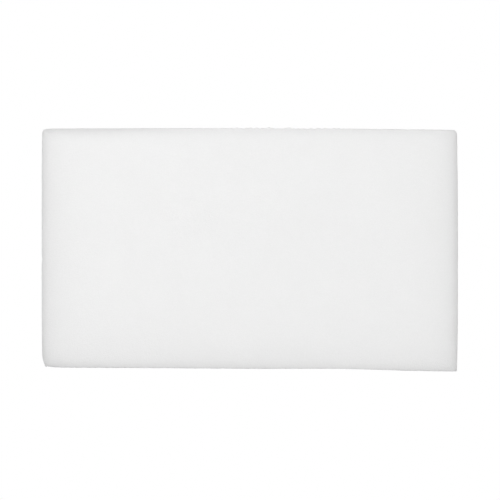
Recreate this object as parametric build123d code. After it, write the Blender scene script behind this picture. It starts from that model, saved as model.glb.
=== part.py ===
"""Two-sided nail buffer block: a die-cut foam core with a coated-abrasive sheet bonded to each face.

Millimetres, +Z up. X runs along the block's length and Y across its width, with the rear edge at +Y.
The origin is the middle of the block's plan, on the plane that the lower face rests on.
The block is one bonded laminate, so nothing in it moves.
"""

import os
from math import sqrt

from build123d import *

# The block as cut from its laminated sheet.
BLOCK_LENGTH = 38.0
BLOCK_WIDTH = 22.0
BLOCK_THICKNESS = 12.5

# The cut is a little out of square: each long edge falls this far from the left end to the right.
REAR_EDGE_FALL = 0.12
FRONT_EDGE_FALL = 0.38

# Plan corners as the cutting rule leaves them. The front left one is not round: there the left
# end curves in over RELIEF_LENGTH and meets the front edge RELIEF_DEPTH inside the end.
REAR_LEFT_RADIUS = 0.4
REAR_RIGHT_RADIUS = 0.45
FRONT_RIGHT_RADIUS = 0.15
RELIEF_LENGTH = 1.3
RELIEF_DEPTH = 0.32

# The rule presses on the upper face first, so that face rolls over towards its cut edges, most of
# all at the two ends. The lower face lies on the cutting board and rolls over much less.
UPPER_END_ROLL_WIDTH = 7.0
UPPER_END_ROLL_DROP = 1.5
UPPER_SIDE_ROLL_WIDTH = 6.0
UPPER_SIDE_ROLL_DROP = 1.1
LOWER_ROLL_WIDTH = 2.5
LOWER_ROLL_DROP = 0.25

# Layers of each abrasive sheet, from the foam outwards.
ADHESIVE_THICKNESS = 0.06
BACKING_THICKNESS = 0.18
FINE_COAT_THICKNESS = 0.12
COARSE_COAT_THICKNESS = 0.20

# How far the crowned bodies reach past the plan outline that trims them.
CROWN_OVERHANG = 1.0 + max(abs(REAR_EDGE_FALL), abs(FRONT_EDGE_FALL)) / 2

# The width and drop of each roll.
UPPER_END_ROLL = (UPPER_END_ROLL_WIDTH, UPPER_END_ROLL_DROP)
UPPER_SIDE_ROLL = (UPPER_SIDE_ROLL_WIDTH, UPPER_SIDE_ROLL_DROP)
LOWER_ROLL = (LOWER_ROLL_WIDTH, LOWER_ROLL_DROP)

# Layer thicknesses of each sheet, from outside to inside.
FINE_SHEET = (FINE_COAT_THICKNESS, BACKING_THICKNESS, ADHESIVE_THICKNESS)
COARSE_SHEET = (COARSE_COAT_THICKNESS, BACKING_THICKNESS, ADHESIVE_THICKNESS)


def plan_outline():
    """The block's outline seen from above, as a face on the XY plane."""
    left, right = -BLOCK_LENGTH / 2, BLOCK_LENGTH / 2
    # The two falls would put the outline off the middle of its own bounding box.
    middle = (FRONT_EDGE_FALL - REAR_EDGE_FALL) / 4

    def rear_y(x):
        return middle + BLOCK_WIDTH / 2 - REAR_EDGE_FALL * x / BLOCK_LENGTH

    def front_y(x):
        return middle - BLOCK_WIDTH / 2 - FRONT_EDGE_FALL * x / BLOCK_LENGTH

    rear_left = (left, rear_y(left))
    rear_right = (right, rear_y(right))
    front_right = (right, front_y(right))
    relief_foot = (left + RELIEF_DEPTH, front_y(left + RELIEF_DEPTH))
    relief_top = (left, front_y(left) + RELIEF_LENGTH)
    edges = Polyline(relief_foot, front_right, rear_right, rear_left, relief_top).edges()
    edges.append(TangentArc(relief_top, relief_foot, tangent=(0, -1)))
    outline = make_face(edges)
    for corner, radius in (
        (rear_left, REAR_LEFT_RADIUS),
        (rear_right, REAR_RIGHT_RADIUS),
        (front_right, FRONT_RIGHT_RADIUS),
    ):
        outline = fillet(outline.vertices().sort_by_distance(corner)[0], radius)
    return outline


def roll_radius(width, drop):
    """The radius of an arc that leaves a flat face and falls by drop over width."""
    return (width**2 + drop**2) / (2 * drop)


def crowned_profile(half_span, upper_roll, upper_depth, lower_depth):
    """The section of a crowned body in its own X and Y, Y being height above the resting plane.

    Both faces lie at a depth inside the finished ones. Their rolls share the finished rolls' centres,
    so two profiles are a constant distance apart all the way to the rim.
    """
    reach = half_span + CROWN_OVERHANG

    def flat_and_rim(roll, depth):
        """Half the flat's length, and how far inside the finished flat the face lies at reach."""
        width, drop = roll
        radius = roll_radius(width, drop)
        return half_span - width, radius - sqrt((radius - depth) ** 2 - (width + CROWN_OVERHANG) ** 2)

    top_flat, top_rim_depth = flat_and_rim(upper_roll, upper_depth)
    low_flat, low_end = flat_and_rim(LOWER_ROLL, lower_depth)
    top, top_rim = BLOCK_THICKNESS - upper_depth, BLOCK_THICKNESS - top_rim_depth
    edges = [
        Line((-top_flat, top), (top_flat, top)),
        TangentArc((top_flat, top), (reach, top_rim), tangent=(1, 0)),
        Line((reach, top_rim), (reach, low_end)),
        TangentArc((low_flat, lower_depth), (reach, low_end), tangent=(1, 0)),
        Line((low_flat, lower_depth), (-low_flat, lower_depth)),
        TangentArc((-low_flat, lower_depth), (-reach, low_end), tangent=(-1, 0)),
        Line((-reach, low_end), (-reach, top_rim)),
        TangentArc((-top_flat, top), (-reach, top_rim), tangent=(-1, 0)),
    ]
    return make_face(edges)


def crowned_body(upper_depth=0.0, lower_depth=0.0):
    """A block with both faces crowned along X and along Y, larger in plan than the outline."""
    half_length, half_width = BLOCK_LENGTH / 2, BLOCK_WIDTH / 2
    along_x = Plane.XZ * crowned_profile(half_length, UPPER_END_ROLL, upper_depth, lower_depth)
    along_y = Plane.YZ * crowned_profile(half_width, UPPER_SIDE_ROLL, upper_depth, lower_depth)
    return extrude(along_x, half_width + CROWN_OVERHANG, both=True) & extrude(
        along_y, half_length + CROWN_OVERHANG, both=True
    )


def foam_core(outline):
    """The foam between the two sheets."""
    body = crowned_body(upper_depth=sum(FINE_SHEET), lower_depth=sum(COARSE_SHEET))
    return extrude(outline, BLOCK_THICKNESS) & body


def sheet_layers(outline, side, names, thicknesses):
    """The layers of one abrasive sheet, from outside to inside, each a shell of even thickness."""
    half = extrude(outline, BLOCK_THICKNESS / 2)
    if side == "upper":
        half = Pos(0, 0, BLOCK_THICKNESS / 2) * half
    layers, depth = {}, 0.0
    for name, thickness in zip(names, thicknesses):
        outer = crowned_body(**{f"{side}_depth": depth})
        inner = crowned_body(**{f"{side}_depth": depth + thickness})
        layers[f"{side}_{name}"] = (half & outer) - inner
        depth += thickness
    return layers


def all_parts():
    """Every node of the block by name."""
    outline = plan_outline()
    parts = {"foam_core": foam_core(outline)}
    fine_names = ("fine_grit_coat", "backing_paper", "adhesive_film")
    coarse_names = ("coarse_grit_coat", "backing_paper", "adhesive_film")
    parts |= sheet_layers(outline, "upper", fine_names, FINE_SHEET)
    parts |= sheet_layers(outline, "lower", coarse_names, COARSE_SHEET)
    return parts


os.makedirs("parts", exist_ok=True)
for node, shape in all_parts().items():
    export_step(shape, f"parts/{node}.step")
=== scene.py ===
"""The looks of a two-sided nail buffer block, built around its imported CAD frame.

The block is a die-cut laminate: a white foam core with a fine abrasive sheet on the upper face and a
coarse one on the lower face. Each sheet is a grit coat on backing paper on an adhesive film. Every layer
is its own closed mesh, and neighbours take their heights from one formula, so they touch face to face.
The block's lengths are in millimetres, and build_solid() turns them into the frame's metres. The stage,
the lights and the camera are in metres.
"""

from math import asin, degrees, radians

import bpy
import numpy as np
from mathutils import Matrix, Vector, noise


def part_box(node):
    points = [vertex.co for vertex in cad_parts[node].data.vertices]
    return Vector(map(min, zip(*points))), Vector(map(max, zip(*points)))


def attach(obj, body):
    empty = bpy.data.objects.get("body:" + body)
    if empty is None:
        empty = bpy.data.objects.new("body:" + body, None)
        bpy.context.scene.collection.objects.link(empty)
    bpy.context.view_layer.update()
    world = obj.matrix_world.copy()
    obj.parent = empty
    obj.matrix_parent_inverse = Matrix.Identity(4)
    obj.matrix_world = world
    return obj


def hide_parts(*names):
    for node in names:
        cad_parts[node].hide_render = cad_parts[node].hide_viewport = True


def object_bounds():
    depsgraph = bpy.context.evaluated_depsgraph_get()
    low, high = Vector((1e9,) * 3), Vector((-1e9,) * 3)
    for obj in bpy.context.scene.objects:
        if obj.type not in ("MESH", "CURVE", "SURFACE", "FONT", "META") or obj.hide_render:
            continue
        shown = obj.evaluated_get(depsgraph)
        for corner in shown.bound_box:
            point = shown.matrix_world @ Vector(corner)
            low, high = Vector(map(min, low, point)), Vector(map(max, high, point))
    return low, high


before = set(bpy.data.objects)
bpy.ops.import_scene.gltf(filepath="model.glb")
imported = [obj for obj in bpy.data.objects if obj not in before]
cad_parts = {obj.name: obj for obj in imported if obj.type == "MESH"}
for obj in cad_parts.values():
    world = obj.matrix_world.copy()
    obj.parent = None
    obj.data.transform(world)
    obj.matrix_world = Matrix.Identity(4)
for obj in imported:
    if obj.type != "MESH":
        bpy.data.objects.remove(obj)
CAD_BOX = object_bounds()

MM = 0.001

# Plan of the block. Its overall size and the layers' depths come from the CAD nodes.
REAR_EDGE_FALL = 0.12
FRONT_EDGE_FALL = 0.38
REAR_LEFT_RADIUS = 0.4
REAR_RIGHT_RADIUS = 0.45
FRONT_RIGHT_RADIUS = 0.15
RELIEF_LENGTH = 1.3
RELIEF_DEPTH = 0.32

# How far the middle of each edge stands out from its ends, as the cut springs back. The front one is
# hollow, and at the rear only this share of the bow lies outside the straight edge.
REAR_BOW = 0.08
REAR_BOW_OUTSIDE = 0.45
FRONT_BOW = -0.085
RIGHT_BOW = 0.05
LEFT_BOW = 0.03

# Dents in the cut, by the place of their middle along the edge, their half width and their depth. The
# clipped corner is a dent at the left end of the front edge.
FRONT_HOLLOW = (8.0, 5.0, 0.10)
LEFT_NICK = (-0.8, 0.3, 0.045)
CLIPPED_CORNER_WIDTH = 0.8
CLIPPED_CORNER_DEPTH = 0.14

# The right edge leans in towards the rear: from here, fully from here, and by how much.
RIGHT_LEAN = (3.0, 9.0, 0.03)

# A torn stretch of the rear edge stands proud and has burrs. At each end: where it begins, and where it
# is full.
TORN_LEFT = (-2.6, -1.2)
TORN_RIGHT = (9.4, 8.2)
TORN_PROUD = 0.02
BURR_HEIGHT = 0.13
BURR_SIZE = 0.32

# Long waves that every cut edge has, and the size of the bumps where a layer frays.
WAVE_HEIGHT = 0.010
WAVE_SIZE = 1.6
FRAY_SIZE = 0.22

# How far each layer's cut edge stands inside the outline, and how much it frays.
COAT_FACE = {"inset": 0.03, "fray": 0.006}
COAT_EDGE = {"inset": 0.0, "fray": 0.012}
COAT_BACK = {"inset": 0.004, "fray": 0.010}
PAPER_EDGE = {"inset": 0.012, "fray": 0.012}
FILM_EDGE = {"inset": 0.035, "fray": 0.006}
FOAM_EDGE = {"inset": 0.015, "fray": 0.006}

# Rows of a coat's cut edge, as shares of its thickness from the outside.
COAT_EDGE_ROWS = (0.3, 0.7)

# Each face rolls over towards its cut edges: a soft slope that reaches far in, and a lip at the rim.
# Each is a slope at the edge, and the distance in which it fades to a third.
UPPER_ROLLS = {
    "front": {"soft": 0.42, "reach": 2.5, "lip": 0.54, "lip_reach": 0.33},
    "right": {"soft": 0.58, "reach": 2.5, "lip": 0.86, "lip_reach": 0.30},
    "rear": {"soft": 0.28, "reach": 1.5, "lip": 0.44, "lip_reach": 0.62},
    "left": {"soft": 0.56, "reach": 2.5, "lip": 0.71, "lip_reach": 0.28},
}
LOWER_ROLLS = dict.fromkeys(UPPER_ROLLS, {"soft": 0.16, "reach": 0.9, "lip": 0.25, "lip_reach": 0.25})

# How the two rolls of a corner join: 1 adds them, and 2 rounds them into each other.
CORNER_SHARPNESS = 1.15

# On both faces, each lip dips more towards the left or the front: from this place along the side, fully
# from this one, and by how much more.
LIP_DIPS = {
    "front": (-16.0, -19.0, 0.6),
    "right": (-5.0, -11.0, 0.3),
    "rear": (-3.0, -17.5, 1.8),
    "left": (-8.0, -11.0, 0.8),
}

# Unevenness of a coat's face: sizes of its shallow waves and of the grit's clumps, and the share that
# each has in its height.
FACE_WAVE_SIZE = 2.6
FACE_WAVE_SHARE = 0.6
FACE_CLUMP_SIZE = 0.42
FACE_CLUMP_SHARE = 0.4

# The foam's cut walls: the step between rows, how far they draw in between the sheets, and how suddenly
# they do next to the sheets, 1 being a parabola and less more sudden.
WALL_STEP = 0.15
WAIST_DEPTH = 0.22
WAIST_POWER = 0.8

# The foam's larger cells: their size, the depth of the pit that a cut one leaves, and where that pit
# starts and is full, as shares of the size from the cell's middle.
OPEN_CELL = 0.62
PIT_DEPTH = 0.055
PIT_WALL = (0.45, 0.05)

# They are open in patches: the size of these, and the noise at which they start to open and are fully
# open. Pits fade out at the wall's top and bottom, over one part in PIT_FADE of its height.
PATCH_SIZE = 1.1
PATCH_RANGE = (-0.1, 0.5)
PIT_FADE = 6

# Lines that the cutting rule drags down the walls, longer than they are wide by one over DRAG_FLATNESS,
# and a slow sag.
DRAG_DEPTH = 0.014
DRAG_WIDTH = 0.45
DRAG_FLATNESS = 0.06
SAG_DEPTH = 0.02
SAG_SIZE = 2.4

# Grid of the plan: the step between lines at the rim, how it grows inwards, and in the middle. Bonded
# faces have one grid line in COARSE_FACTOR away from their rim.
RIM_STEP = 0.035
STEP_GROWTH = 0.06
FACE_STEP = 0.115
COARSE_FACTOR = 4

# The step between the outline's points, how many of them the cut's running mean takes in, and at how
# many places along a side the grid's spacing is worked out.
OUTLINE_STEP = 0.03
CUT_SMOOTHING = 5
STATION_SAMPLES = 8001

# Faces that meet at more than this angle, in degrees, are shaded with a sharp edge.
SHARP_ANGLE = 38

# How much one seed shifts the noise along X, Y and Z.
SEED_SHIFTS = (7.3, 3.1, 5.7)

# Each grit: the size of its grains, the height of their bump, and its darkest and lightest tone.
FINE_GRIT = {
    "grain": 0.10,
    "height": 0.012,
    "dark": (0.828, 0.828, 0.828),
    "light": (0.836, 0.836, 0.836),
}
COARSE_GRIT = {
    "grain": 0.22,
    "height": 0.03,
    "dark": (0.76, 0.76, 0.755),
    "light": (0.83, 0.83, 0.825),
}

# How far each coat's face is sunk by its unevenness, at the most.
FINE_UNEVENNESS = 0.012
COARSE_UNEVENNESS = 0.02

# Sizes of a grit's clumps and of its mottle, in grains.
GRAINS_IN_CLUMP = 3.5
GRAINS_IN_MOTTLE = 30

WHITE = (1.0, 1.0, 1.0)

# The Mix node's colour sockets. Their names are shared with its sockets for other kinds of data.
MIX_FIRST = 6
MIX_SECOND = 7
MIX_RESULT = 2

# The floor: the share of light that it sends back, and its side. Soft boxes: name, place, side and watts.
FLOOR_SHADE = 0.8
FLOOR_SIDE = 6.0
SOFT_LIGHTS = [
    ("overhead", (0, 0, 0.6), 0.4, 3.22),
    ("right", (0.42, 0, 0.42), 0.4, 0.52),
    ("near", (-0.07, 0.07, 0.13), 0.08, 0.053),
]

# The camera: how far above the rim it is, how much of the picture's width the block's length takes up,
# and its sensor's width in millimetres.
CAMERA_DISTANCE = 0.45
LENGTH_IN_PICTURE = 0.832
SENSOR_WIDTH = 36.0

# About how far below the top the upper rim lies, where the outline is seen from above.
RIM_DROP = 1.4


def node_z(node, corner):
    """The height of a CAD node's lowest (0) or highest (1) corner, in millimetres."""
    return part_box(node)[corner].z / MM


BLOCK_LENGTH = (CAD_BOX[1].x - CAD_BOX[0].x) / MM
BLOCK_WIDTH = (CAD_BOX[1].y - CAD_BOX[0].y) / MM - (REAR_EDGE_FALL + FRONT_EDGE_FALL) / 2
BLOCK_TOP = CAD_BOX[1].z / MM

# The two falls would put the outline off the middle of its own bounding box.
PLAN_MIDDLE = (FRONT_EDGE_FALL - REAR_EDGE_FALL) / 4

# Depth of each surface below the finished face, from the grit's outside to the foam.
UPPER_DEPTHS = [
    0.0,
    BLOCK_TOP - node_z("upper_backing_paper", 1),
    BLOCK_TOP - node_z("upper_adhesive_film", 1),
    BLOCK_TOP - node_z("foam_core", 1),
]
LOWER_DEPTHS = [
    0.0,
    node_z("lower_backing_paper", 0),
    node_z("lower_adhesive_film", 0),
    node_z("foam_core", 0),
]


# ---------------------------------------------------------------- plan outline


def rear_y(x):
    """The rear edge's straight line."""
    return PLAN_MIDDLE + BLOCK_WIDTH / 2 - REAR_EDGE_FALL * x / BLOCK_LENGTH


def front_y(x):
    """The front edge's straight line."""
    return PLAN_MIDDLE - BLOCK_WIDTH / 2 - FRONT_EDGE_FALL * x / BLOCK_LENGTH


def run(start, end):
    """Points along a straight run, without its end."""
    start, end = np.array(start), np.array(end)
    count = max(2, round(np.linalg.norm(end - start) / OUTLINE_STEP))
    return start + (end - start) * np.linspace(0, 1, count, endpoint=False)[:, None]


def turn(centre, radius, start, end):
    """Points along an arc between two angles in degrees, without its end."""
    count = max(4, round(radius * abs(radians(end - start)) / OUTLINE_STEP))
    angles = np.radians(np.linspace(start, end, count, endpoint=False))
    return np.array(centre) + radius * np.stack([np.cos(angles), np.sin(angles)], 1)


def outline_sides():
    """The plan outline, anticlockwise: the front, right, rear and left sides, each up to the next corner."""
    left, right = -BLOCK_LENGTH / 2, BLOCK_LENGTH / 2
    relief_foot = (left + RELIEF_DEPTH, front_y(left + RELIEF_DEPTH))
    relief_radius = (RELIEF_LENGTH**2 + RELIEF_DEPTH**2) / (2 * RELIEF_DEPTH)
    relief_centre = (left + relief_radius, front_y(left) + RELIEF_LENGTH)
    relief_sweep = degrees(asin(RELIEF_LENGTH / relief_radius))
    front_right = (right - FRONT_RIGHT_RADIUS, front_y(right) + FRONT_RIGHT_RADIUS)
    rear_right = (right - REAR_RIGHT_RADIUS, rear_y(right) - REAR_RIGHT_RADIUS)
    rear_left = (left + REAR_LEFT_RADIUS, rear_y(left) - REAR_LEFT_RADIUS)
    front_side = [
        run(relief_foot, (front_right[0], front_y(right))),
        turn(front_right, FRONT_RIGHT_RADIUS, -90, -45),
    ]
    right_side = [
        turn(front_right, FRONT_RIGHT_RADIUS, -45, 0),
        run((right, front_right[1]), (right, rear_right[1])),
        turn(rear_right, REAR_RIGHT_RADIUS, 0, 45),
    ]
    rear_side = [
        turn(rear_right, REAR_RIGHT_RADIUS, 45, 90),
        run((rear_right[0], rear_y(right)), (rear_left[0], rear_y(left))),
        turn(rear_left, REAR_LEFT_RADIUS, 90, 135),
    ]
    left_side = [
        turn(rear_left, REAR_LEFT_RADIUS, 135, 180),
        run((left, rear_left[1]), (left, relief_centre[1])),
        turn(relief_centre, relief_radius, 180, 180 + relief_sweep),
    ]
    return [np.concatenate(pieces) for pieces in (front_side, right_side, rear_side, left_side)]


def noise_at(points, size, seed):
    """Smooth noise from about -1 to 1 at rows of points, with bumps about a size apart."""
    shift = Vector([seed * step for step in SEED_SHIFTS])
    points = np.pad(points, ((0, 0), (0, 3 - points.shape[1])))
    return np.array([noise.noise(Vector(p) / size + shift) for p in points])


def smooth_step(low, high, value):
    """0 at low, 1 at high, and smooth between them."""
    t = np.clip((value - low) / (high - low), 0, 1)
    return t * t * (3 - 2 * t)


def dent(at, middle, half_width, depth):
    """How deep a smooth dent is at places along an edge. It fades to a third in its half width."""
    return depth * np.exp(-(((at - middle) / half_width) ** 2))


def cut_offset(side, points, fray, seed):
    """How far the real cut stands outside the straight outline along one side."""
    x, y = points[:, 0], points[:, 1]
    along = (2 * x / BLOCK_LENGTH) if side in ("front", "rear") else (2 * y / BLOCK_WIDTH)
    waves = WAVE_HEIGHT * noise_at(points, WAVE_SIZE, seed=1)
    offset = waves + fray * noise_at(points, FRAY_SIZE, seed)
    if side == "front":
        offset = offset + FRONT_BOW * (1 - along**2) - dent(x, *FRONT_HOLLOW)
        offset = offset - dent(x, -BLOCK_LENGTH / 2, CLIPPED_CORNER_WIDTH, CLIPPED_CORNER_DEPTH)
    if side == "right":
        start, full, depth = RIGHT_LEAN
        offset = offset - RIGHT_BOW * along**4 - depth * smooth_step(start, full, y)
    if side == "rear":
        torn = smooth_step(*TORN_LEFT, x) * smooth_step(*TORN_RIGHT, x)
        burrs = BURR_HEIGHT * noise_at(points, BURR_SIZE, seed=4)
        offset = offset + REAR_BOW * (REAR_BOW_OUTSIDE - along**2) + torn * (TORN_PROUD + burrs)
    if side == "left":
        offset = offset + LEFT_BOW * (1 - along**4) - dent(y, *LEFT_NICK)
    return offset


def smoothed(values, width):
    """A running mean round a closed loop."""
    shifts = range(-(width // 2), width // 2 + 1)
    return sum(np.roll(values, s) for s in shifts) / width


def cut_outline(inset, fray, seed):
    """The four sides of the cut outline as dense rows of points, moved inwards by inset.

    Each side includes both of its corners, and runs anticlockwise.
    """
    sides = outline_sides()
    loop = np.concatenate(sides)
    along = np.roll(loop, -1, 0) - np.roll(loop, 1, 0)
    outward = np.stack([along[:, 1], -along[:, 0]], 1) / np.linalg.norm(along, axis=1)[:, None]
    names = ("front", "right", "rear", "left")
    offset = np.concatenate([cut_offset(n, s, fray, seed) for n, s in zip(names, sides)])
    moved = loop + outward * (smoothed(offset, CUT_SMOOTHING) - inset)[:, None]
    starts = np.cumsum([0] + [len(s) for s in sides])
    moved = np.vstack([moved, moved[:1]])
    return [moved[a : b + 1] for a, b in zip(starts[:-1], starts[1:])]


# ---------------------------------------------------------------- plan grid


def graded_stations(length):
    """Stations from 0 to 1 along a side, close together near both of its ends."""
    at = np.linspace(0, length, STATION_SAMPLES)
    spacing = np.minimum(FACE_STEP, RIM_STEP + STEP_GROWTH * np.minimum(at, length - at))
    steps = np.diff(at) * 2 / (spacing[1:] + spacing[:-1])
    steps_before = np.concatenate([[0], np.cumsum(steps)])
    lines = COARSE_FACTOR * round(steps_before[-1] / COARSE_FACTOR)
    return np.interp(np.linspace(0, steps_before[-1], lines + 1), steps_before, at) / length


def resampled(side, stations):
    """A side's points at shares of its own length."""
    length = np.concatenate([[0], np.cumsum(np.linalg.norm(np.diff(side, axis=0), axis=1))])
    at = stations * length[-1]
    return np.stack([np.interp(at, length, side[:, k]) for k in (0, 1)], 1)


def plan_grid(inset, fray, seed):
    """The plan as a grid of points, [row from front to rear, column from left to right, x or y]."""
    front, right, rear, left = cut_outline(inset, fray, seed)
    columns = graded_stations(BLOCK_LENGTH)
    rows = graded_stations(BLOCK_WIDTH)
    front, right = resampled(front, columns), resampled(right, rows)
    rear, left = resampled(rear[::-1], columns), resampled(left[::-1], rows)
    u, v = columns[None, :, None], rows[:, None, None]
    between_long = (1 - v) * front[None] + v * rear[None]
    between_short = (1 - u) * left[:, None] + u * right[:, None]
    corners = (1 - u) * (1 - v) * front[0] + u * (1 - v) * front[-1]
    corners = corners + (1 - u) * v * rear[0] + u * v * rear[-1]
    return between_long + between_short - corners


def rolled(distance, roll, gain):
    """How far a face has dropped, and its slope, at a distance from one cut edge."""
    distance = np.maximum(distance, 0)
    soft = roll["soft"] * np.exp(-distance / roll["reach"])
    lip = gain * roll["lip"] * np.exp(-distance / roll["lip_reach"])
    return soft * roll["reach"] + lip * roll["lip_reach"], soft + lip


def lip_gain(side, at):
    """How many times its usual slope a side's lip has at places along that side."""
    start, full, extra = LIP_DIPS[side]
    return 1 + extra * smooth_step(-start, -full, -at)


def face_drop(plan, rolls, depth):
    """How far a surface at a depth inside the sheet lies below the face's flat middle."""
    x, y = plan[..., 0], plan[..., 1]
    left_drop, left_slope = rolled(x + BLOCK_LENGTH / 2, rolls["left"], lip_gain("left", y))
    right_drop, right_slope = rolled(BLOCK_LENGTH / 2 - x, rolls["right"], lip_gain("right", y))
    front_drop, front_slope = rolled(y - front_y(x), rolls["front"], lip_gain("front", x))
    rear_drop, rear_slope = rolled(rear_y(x) - y, rolls["rear"], lip_gain("rear", x))
    end_drop, end_slope = left_drop + right_drop, left_slope - right_slope
    side_drop, side_slope = front_drop + rear_drop, front_slope - rear_slope
    drop = (end_drop**CORNER_SHARPNESS + side_drop**CORNER_SHARPNESS) ** (1 / CORNER_SHARPNESS)
    end_share = (end_drop / drop) ** (CORNER_SHARPNESS - 1)
    side_share = (side_drop / drop) ** (CORNER_SHARPNESS - 1)
    slope = np.hypot(end_share * end_slope, side_share * side_slope)
    return drop + depth * np.sqrt(1 + slope**2)


def surface(plan, face, depth, unevenness=0.0):
    """The plan grid lifted to a surface of the upper or lower sheet, and sunk by its unevenness."""
    if face == "upper":
        z = BLOCK_TOP - face_drop(plan, UPPER_ROLLS, depth) - unevenness
    else:
        z = face_drop(plan, LOWER_ROLLS, depth) + unevenness
    return np.concatenate([plan, z[..., None]], 2)


# ---------------------------------------------------------------- closed meshes


def border(rows, columns):
    """The grid's border as (row, column) pairs, anticlockwise seen from above."""
    front = [(0, i) for i in range(columns - 1)]
    right = [(j, columns - 1) for j in range(rows - 1)]
    rear = [(rows - 1, i) for i in range(columns - 1, 0, -1)]
    left = [(j, 0) for j in range(rows - 1, 0, -1)]
    return front + right + rear + left


def edge_row(grid):
    """A grid's border points, in border order."""
    return np.array([grid[j, i] for j, i in border(*grid.shape[:2])])


def full_surface(grid):
    """Every point of a grid: (points, faces seen from above, border as point numbers)."""
    rows, columns = grid.shape[:2]
    number = np.arange(rows * columns).reshape(rows, columns)
    quads = np.stack([number[:-1, :-1], number[:-1, 1:], number[1:, 1:], number[1:, :-1]], -1)
    loop = [number[j, i] for j, i in border(rows, columns)]
    return grid.reshape(-1, 3), quads.reshape(-1, 4).tolist(), loop


def hidden_surface(grid):
    """A bonded surface: the grid's whole border, joined to a coarser grid inside it."""
    inner = grid[COARSE_FACTOR:-COARSE_FACTOR:COARSE_FACTOR, COARSE_FACTOR:-COARSE_FACTOR:COARSE_FACTOR]
    points, faces, _ = full_surface(inner)
    pairs = border(*grid.shape[:2])
    rim = [len(points) + k for k in range(len(pairs))]
    last_row, last_column = inner.shape[0] - 1, inner.shape[1] - 1

    def nearest(j, i):
        """The number of the inner grid's point that is nearest to a border point."""
        row = min(max((j + COARSE_FACTOR // 2) // COARSE_FACTOR - 1, 0), last_row)
        column = min(max((i + COARSE_FACTOR // 2) // COARSE_FACTOR - 1, 0), last_column)
        return row * (last_column + 1) + column

    inside = [nearest(j, i) for j, i in pairs]
    for k, a in enumerate(rim):
        n = (k + 1) % len(rim)
        b, near_a, near_b = rim[n], inside[k], inside[n]
        faces.append([a, b, near_a] if near_a == near_b else [a, b, near_b, near_a])
    return np.vstack([points, edge_row(grid)]), faces, rim


def joined(above, below):
    """Quads between two closed rows of point numbers, seen from outside."""
    count = len(above)
    return [[above[k], below[k], below[(k + 1) % count], above[(k + 1) % count]] for k in range(count)]


def build_solid(name, upper, lower, wall_rows):
    """One closed mesh from an upper and a lower surface, and the rows of points between their borders."""
    points, faces, above = upper
    lower_points, lower_faces, lower_loop = lower
    parts = [points]
    start = len(points)
    for row in wall_rows:
        below = list(range(start, start + len(row)))
        faces = faces + joined(above, below)
        parts.append(row)
        above, start = below, start + len(row)
    faces = faces + joined(above, [start + n for n in lower_loop])
    faces = faces + [[start + n for n in reversed(face)] for face in lower_faces]
    parts.append(lower_points)
    mesh = bpy.data.meshes.new(name)
    mesh.from_pydata((np.vstack(parts) * MM).tolist(), [], faces)
    mesh.polygons.foreach_set("use_smooth", [True] * len(mesh.polygons))
    mesh.set_sharp_from_angle(angle=radians(SHARP_ANGLE))
    mesh.validate()
    piece = bpy.data.objects.new(name, mesh)
    bpy.context.scene.collection.objects.link(piece)
    return piece


# ---------------------------------------------------------------- the block's pieces


def face_unevenness(plan, height, seed):
    """How far a coat's face is sunk by its shallow waves and by the gaps between the grit's clumps."""
    flat = plan.reshape(-1, 2)
    waves = 0.5 + 0.5 * noise_at(flat, FACE_WAVE_SIZE, seed)
    clumps = 0.5 + 0.5 * noise_at(flat, FACE_CLUMP_SIZE, seed + 1)
    return (height * (FACE_WAVE_SHARE * waves + FACE_CLUMP_SHARE * clumps)).reshape(plan.shape[:2])


def grit_coat(name, face, depths, unevenness, seed):
    """The outermost layer of a sheet, with every grid point on the side that shows."""
    outside, inside = depths[:2]
    plan = plan_grid(**COAT_FACE, seed=seed)
    edge_plan = plan_grid(**COAT_EDGE, seed=seed + 1)
    back_plan = plan_grid(**COAT_BACK, seed=seed + 2)
    shown = full_surface(surface(plan, face, outside, face_unevenness(plan, unevenness, seed)))
    bonded = hidden_surface(surface(back_plan, face, inside))
    edge_depths = [outside + share * (inside - outside) for share in COAT_EDGE_ROWS]
    edge_rows = [edge_row(surface(edge_plan, face, depth)) for depth in edge_depths]
    if face == "upper":
        return build_solid(name, shown, bonded, edge_rows)
    return build_solid(name, bonded, shown, edge_rows[::-1])


def bonded_layer(name, face, depths, seed, inset, fray):
    """A layer that shows only at its cut edge, which bulges by half of its fray."""
    plan = plan_grid(inset, fray, seed)
    edge_plan = plan_grid(inset - 0.5 * fray, fray, seed + 1)
    outer = hidden_surface(surface(plan, face, depths[0]))
    inner = hidden_surface(surface(plan, face, depths[1]))
    middle = edge_row(surface(edge_plan, face, (depths[0] + depths[1]) / 2))
    if face == "upper":
        return build_solid(name, outer, inner, [middle])
    return build_solid(name, inner, outer, [middle])


def foam_core(name, seed):
    """The foam, with walls that draw in between the sheets and show its cut cells."""
    plan = plan_grid(**FOAM_EDGE, seed=seed)
    top = surface(plan, "upper", UPPER_DEPTHS[3])
    bottom = surface(plan, "lower", LOWER_DEPTHS[3])
    top_edge, bottom_edge = edge_row(top), edge_row(bottom)
    waist_plan = plan_grid(FOAM_EDGE["inset"] + WAIST_DEPTH, fray=0.0, seed=seed)
    inward = edge_row(waist_plan) - top_edge[:, :2]
    direction = inward / np.linalg.norm(inward, axis=1)[:, None]
    count = round((BLOCK_TOP - UPPER_DEPTHS[3] - LOWER_DEPTHS[3]) / WALL_STEP)
    rows = []
    for k in range(1, count):
        down = k / count
        row = top_edge * (1 - down) + bottom_edge * down
        row[:, :2] += inward * (1 - (2 * down - 1) ** 2) ** WAIST_POWER
        pits = cell_pits(row)
        fade = min(1.0, PIT_FADE * down, PIT_FADE * (1 - down))
        row[:, :2] += direction * (fade * pits)[:, None]
        rows.append(row)
    return build_solid(name, hidden_surface(top), hidden_surface(bottom), rows)


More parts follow.
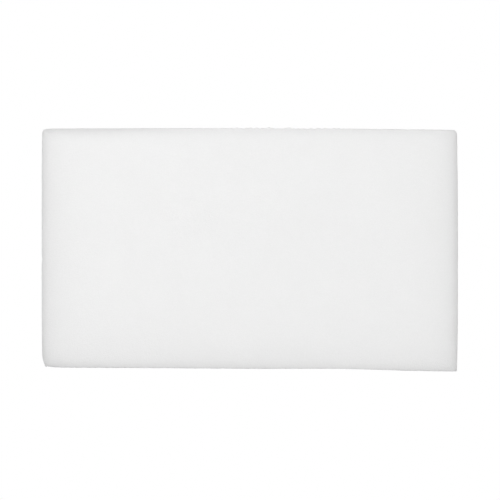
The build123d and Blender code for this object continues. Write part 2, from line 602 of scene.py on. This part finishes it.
def cell_pits(points):
    """Depth of the foam's larger open cells, of the cutting rule's drag lines and of the walls' sag."""
    from_middle = np.array([noise.voronoi(Vector(p) / OPEN_CELL)[0][0] for p in points])
    open_here = smooth_step(*PATCH_RANGE, noise_at(points, PATCH_SIZE, seed=33))
    pits = PIT_DEPTH * open_here * smooth_step(*PIT_WALL, from_middle)
    stretched = points * np.array([1.0, 1.0, DRAG_FLATNESS])
    drag = DRAG_DEPTH * noise_at(stretched, DRAG_WIDTH, seed=31)
    return pits + drag + SAG_DEPTH * noise_at(points, SAG_SIZE, seed=32)


# ---------------------------------------------------------------- materials


def new_material(name):
    """A material with an empty node tree but for its shader: (material, nodes, links, shader)."""
    material = bpy.data.materials.new(name)
    material.use_nodes = True
    nodes, links = material.node_tree.nodes, material.node_tree.links
    return material, nodes, links, nodes["Principled BSDF"]


def object_coordinates(nodes):
    """The object's own coordinates, in metres."""
    return nodes.new("ShaderNodeTexCoord").outputs["Object"]


def noise_texture(nodes, links, coordinates, size, detail, stretch=(1, 1, 1)):
    """Noise with bumps about a size apart, in millimetres, stretched along the axes."""
    mapping = nodes.new("ShaderNodeMapping")
    mapping.inputs["Scale"].default_value = [1 / s for s in stretch]
    texture = nodes.new("ShaderNodeTexNoise")
    texture.inputs["Scale"].default_value = 1 / (size * MM)
    texture.inputs["Detail"].default_value = detail
    links.new(coordinates, mapping.inputs["Vector"])
    links.new(mapping.outputs["Vector"], texture.inputs["Vector"])
    return texture.outputs["Fac"]


def cell_texture(nodes, links, coordinates, size):
    """Distance from the middles of cells about a size apart, in millimetres."""
    texture = nodes.new("ShaderNodeTexVoronoi")
    texture.inputs["Scale"].default_value = 1 / (size * MM)
    links.new(coordinates, texture.inputs["Vector"])
    return texture.outputs["Distance"]


def colour_ramp(nodes, links, factor, low, dark, high, light):
    """A colour between dark, where factor is low, and light, where it is high."""
    ramp = nodes.new("ShaderNodeValToRGB")
    ramp.color_ramp.elements[0].position = low
    ramp.color_ramp.elements[0].color = (*dark, 1)
    ramp.color_ramp.elements[1].position = high
    ramp.color_ramp.elements[1].color = (*light, 1)
    links.new(factor, ramp.inputs["Fac"])
    return ramp.outputs["Color"]


def multiplied(nodes, links, first, second):
    """Two colours multiplied."""
    node = nodes.new("ShaderNodeMix")
    node.data_type, node.blend_type = "RGBA", "MULTIPLY"
    node.inputs["Factor"].default_value = 1.0
    links.new(first, node.inputs[MIX_FIRST])
    links.new(second, node.inputs[MIX_SECOND])
    return node.outputs[MIX_RESULT]


def bump(nodes, links, height, strength, distance, below=None):
    """A bump of a height texture, distance high in millimetres, on top of another bump."""
    node = nodes.new("ShaderNodeBump")
    node.inputs["Strength"].default_value = strength
    node.inputs["Distance"].default_value = distance * MM
    links.new(height, node.inputs["Height"])
    if below is not None:
        links.new(below, node.inputs["Normal"])
    return node.outputs["Normal"]


def grit_material(name, grain, height, dark, light):
    """White aluminium oxide under a chalky stearate coat: dead matt, with a fine grain."""
    material, nodes, links, shader = new_material(name)
    place = object_coordinates(nodes)
    grains = cell_texture(nodes, links, place, grain)
    clumps = noise_texture(nodes, links, place, GRAINS_IN_CLUMP * grain, detail=4)
    mottle = noise_texture(nodes, links, place, GRAINS_IN_MOTTLE * grain, detail=3)
    tone = colour_ramp(nodes, links, mottle, 0.3, dark, 0.7, light)
    speck = colour_ramp(nodes, links, grains, 0.1, WHITE, 0.6, (0.975, 0.975, 0.975))
    links.new(multiplied(nodes, links, tone, speck), shader.inputs["Base Color"])
    soft = bump(nodes, links, clumps, 0.6, height)
    links.new(bump(nodes, links, grains, 0.8, 1.2 * height, soft), shader.inputs["Normal"])
    shader.inputs["Roughness"].default_value = 0.92
    shader.inputs["Specular IOR Level"].default_value = 0.25
    return material


def paper_material():
    """Latex-saturated backing paper, seen at its cut edge: fibrous layers, a little grey."""
    material, nodes, links, shader = new_material("backing_paper")
    place = object_coordinates(nodes)
    fibres = noise_texture(nodes, links, place, 0.05, detail=4, stretch=(6, 6, 1))
    colour = colour_ramp(nodes, links, fibres, 0.3, (0.60, 0.59, 0.57), 0.7, (0.80, 0.79, 0.77))
    links.new(colour, shader.inputs["Base Color"])
    links.new(bump(nodes, links, fibres, 0.6, 0.03), shader.inputs["Normal"])
    shader.inputs["Roughness"].default_value = 0.9
    shader.inputs["Specular IOR Level"].default_value = 0.3
    return material


def adhesive_material():
    """Milky acrylic adhesive, with a dull shine and a trace of dust along the cut."""
    material, nodes, links, shader = new_material("adhesive")
    place = object_coordinates(nodes)
    dust = noise_texture(nodes, links, place, 0.3, detail=3)
    colour = colour_ramp(nodes, links, dust, 0.35, (0.50, 0.49, 0.46), 0.7, (0.68, 0.67, 0.64))
    links.new(colour, shader.inputs["Base Color"])
    links.new(bump(nodes, links, dust, 0.4, 0.02), shader.inputs["Normal"])
    shader.inputs["Roughness"].default_value = 0.45
    return material


def foam_material():
    """White closed-cell foam: small cut cells of uneven size, with painted shade darkening the middle of
    each cut cell and of each larger open cell.
    """
    material, nodes, links, shader = new_material("foam")
    place = object_coordinates(nodes)
    fine = cell_texture(nodes, links, place, 0.20)
    large = cell_texture(nodes, links, place, OPEN_CELL)
    shade = noise_texture(nodes, links, place, 1.8, detail=3)
    drag = noise_texture(nodes, links, place, 0.35, detail=3, stretch=(1, 1, 14))
    # Painted shade: each small cut cell darkens towards its middle, and each larger open cell does so more,
    # as shadow in the pits.
    painted_cell_shade = colour_ramp(nodes, links, fine, 0.05, (0.66, 0.66, 0.65), 0.42, (0.86, 0.86, 0.855))
    painted_pore_shade = colour_ramp(nodes, links, large, 0.06, (0.78, 0.78, 0.775), 0.22, WHITE)
    cloud = colour_ramp(nodes, links, shade, 0.35, (0.95, 0.95, 0.95), 0.65, WHITE)
    painted_pit_shade = multiplied(nodes, links, painted_cell_shade, painted_pore_shade)
    links.new(multiplied(nodes, links, painted_pit_shade, cloud), shader.inputs["Base Color"])
    lines = bump(nodes, links, drag, 0.5, 0.05)
    open_cells = bump(nodes, links, large, 0.6, 0.07, lines)
    links.new(bump(nodes, links, fine, 0.9, 0.08, open_cells), shader.inputs["Normal"])
    shader.inputs["Roughness"].default_value = 0.88
    shader.inputs["Specular IOR Level"].default_value = 0.3
    return material


# ---------------------------------------------------------------- stage


def floor_material():
    """Pale and matt, so that it sends light back to the block, and plain white to the camera itself."""
    material, nodes, links, shader = new_material("floor")
    shader.inputs["Base Color"].default_value = (FLOOR_SHADE, FLOOR_SHADE, FLOOR_SHADE, 1)
    shader.inputs["Roughness"].default_value = 1.0
    shader.inputs["Specular IOR Level"].default_value = 0.0
    white = nodes.new("ShaderNodeEmission")
    white.inputs["Strength"].default_value = 1.0
    seen = nodes.new("ShaderNodeMixShader")
    links.new(nodes.new("ShaderNodeLightPath").outputs["Is Camera Ray"], seen.inputs["Fac"])
    links.new(shader.outputs["BSDF"], seen.inputs[1])
    links.new(white.outputs["Emission"], seen.inputs[2])
    links.new(seen.outputs["Shader"], nodes["Material Output"].inputs["Surface"])
    return material


def make_floor():
    """A square floor under the block."""
    half = FLOOR_SIDE / 2
    corners = [(-half, -half, 0), (half, -half, 0), (half, half, 0), (-half, half, 0)]
    mesh = bpy.data.meshes.new("floor")
    mesh.from_pydata(corners, [], [(0, 1, 2, 3)])
    mesh.materials.append(floor_material())
    floor = bpy.data.objects.new("floor", mesh)
    bpy.context.scene.collection.objects.link(floor)


def make_world():
    """A room that is plain white to the camera and gives no light of its own."""
    world = bpy.data.worlds.new("room")
    world.use_nodes = True
    nodes, links = world.node_tree.nodes, world.node_tree.links
    background = nodes["Background"]
    background.inputs["Color"].default_value = (*WHITE, 1)
    links.new(nodes.new("ShaderNodeLightPath").outputs["Is Camera Ray"], background.inputs["Strength"])
    bpy.context.scene.world = world


def soft_box(name, place, size, energy):
    """A square soft light at a place, turned to the block and unseen by the camera."""
    data = bpy.data.lights.new(name, "AREA")
    data.shape = "SQUARE"
    data.size = size
    data.energy = energy
    light = bpy.data.objects.new(name, data)
    light.location = place
    light.visible_camera = False
    aim = Vector((0, 0, BLOCK_TOP * MM)) - Vector(place)
    light.rotation_euler = aim.to_track_quat("-Z", "Y").to_euler()
    bpy.context.scene.collection.objects.link(light)


def make_lights():
    """Soft boxes overhead, to the right, and close by at the rear left, with colours shown as they are."""
    for name, place, size, energy in SOFT_LIGHTS:
        soft_box(name, place, size, energy)
    view_settings = bpy.context.scene.view_settings
    view_settings.view_transform = "Standard"
    view_settings.look = "None"


def make_camera():
    """Straight above the block, far enough away that its walls stay out of sight."""
    picture_width = BLOCK_LENGTH * MM / LENGTH_IN_PICTURE
    rim_height = (BLOCK_TOP - RIM_DROP) * MM
    data = bpy.data.cameras.new("camera")
    data.sensor_width = SENSOR_WIDTH
    data.lens = SENSOR_WIDTH * CAMERA_DISTANCE / picture_width
    data.clip_start, data.clip_end = 0.01, 10.0
    camera = bpy.data.objects.new("camera", data)
    camera.location = (0, 0, rim_height + CAMERA_DISTANCE)
    bpy.context.scene.collection.objects.link(camera)
    bpy.context.scene.camera = camera


# ---------------------------------------------------------------- the scene


def finish_piece(piece, node, material):
    """Gives a piece its material and ties it to the CAD."""
    piece.data.materials.append(material)
    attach(piece, "root")
    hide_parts(node)


def make_block():
    """Every piece of the block."""
    foam = foam_core("foam_core_cut", seed=21)
    finish_piece(foam, "foam_core", foam_material())
    paper, adhesive = paper_material(), adhesive_material()
    fine = grit_material("fine_grit", **FINE_GRIT)
    coarse = grit_material("coarse_grit", **COARSE_GRIT)
    upper_coat = grit_coat("upper_fine_grit_face", "upper", UPPER_DEPTHS, FINE_UNEVENNESS, seed=41)
    finish_piece(upper_coat, "upper_fine_grit_coat", fine)
    lower_coat = grit_coat("lower_coarse_grit_face", "lower", LOWER_DEPTHS, COARSE_UNEVENNESS, seed=51)
    finish_piece(lower_coat, "lower_coarse_grit_coat", coarse)
    for face, depths, seed in (("upper", UPPER_DEPTHS, 61), ("lower", LOWER_DEPTHS, 71)):
        sheet = bonded_layer(f"{face}_backing_paper_cut", face, depths[1:3], seed, **PAPER_EDGE)
        finish_piece(sheet, f"{face}_backing_paper", paper)
        film = bonded_layer(f"{face}_adhesive_film_cut", face, depths[2:4], seed + 4, **FILM_EDGE)
        finish_piece(film, f"{face}_adhesive_film", adhesive)


make_camera()
make_world()
make_lights()
make_floor()
make_block()
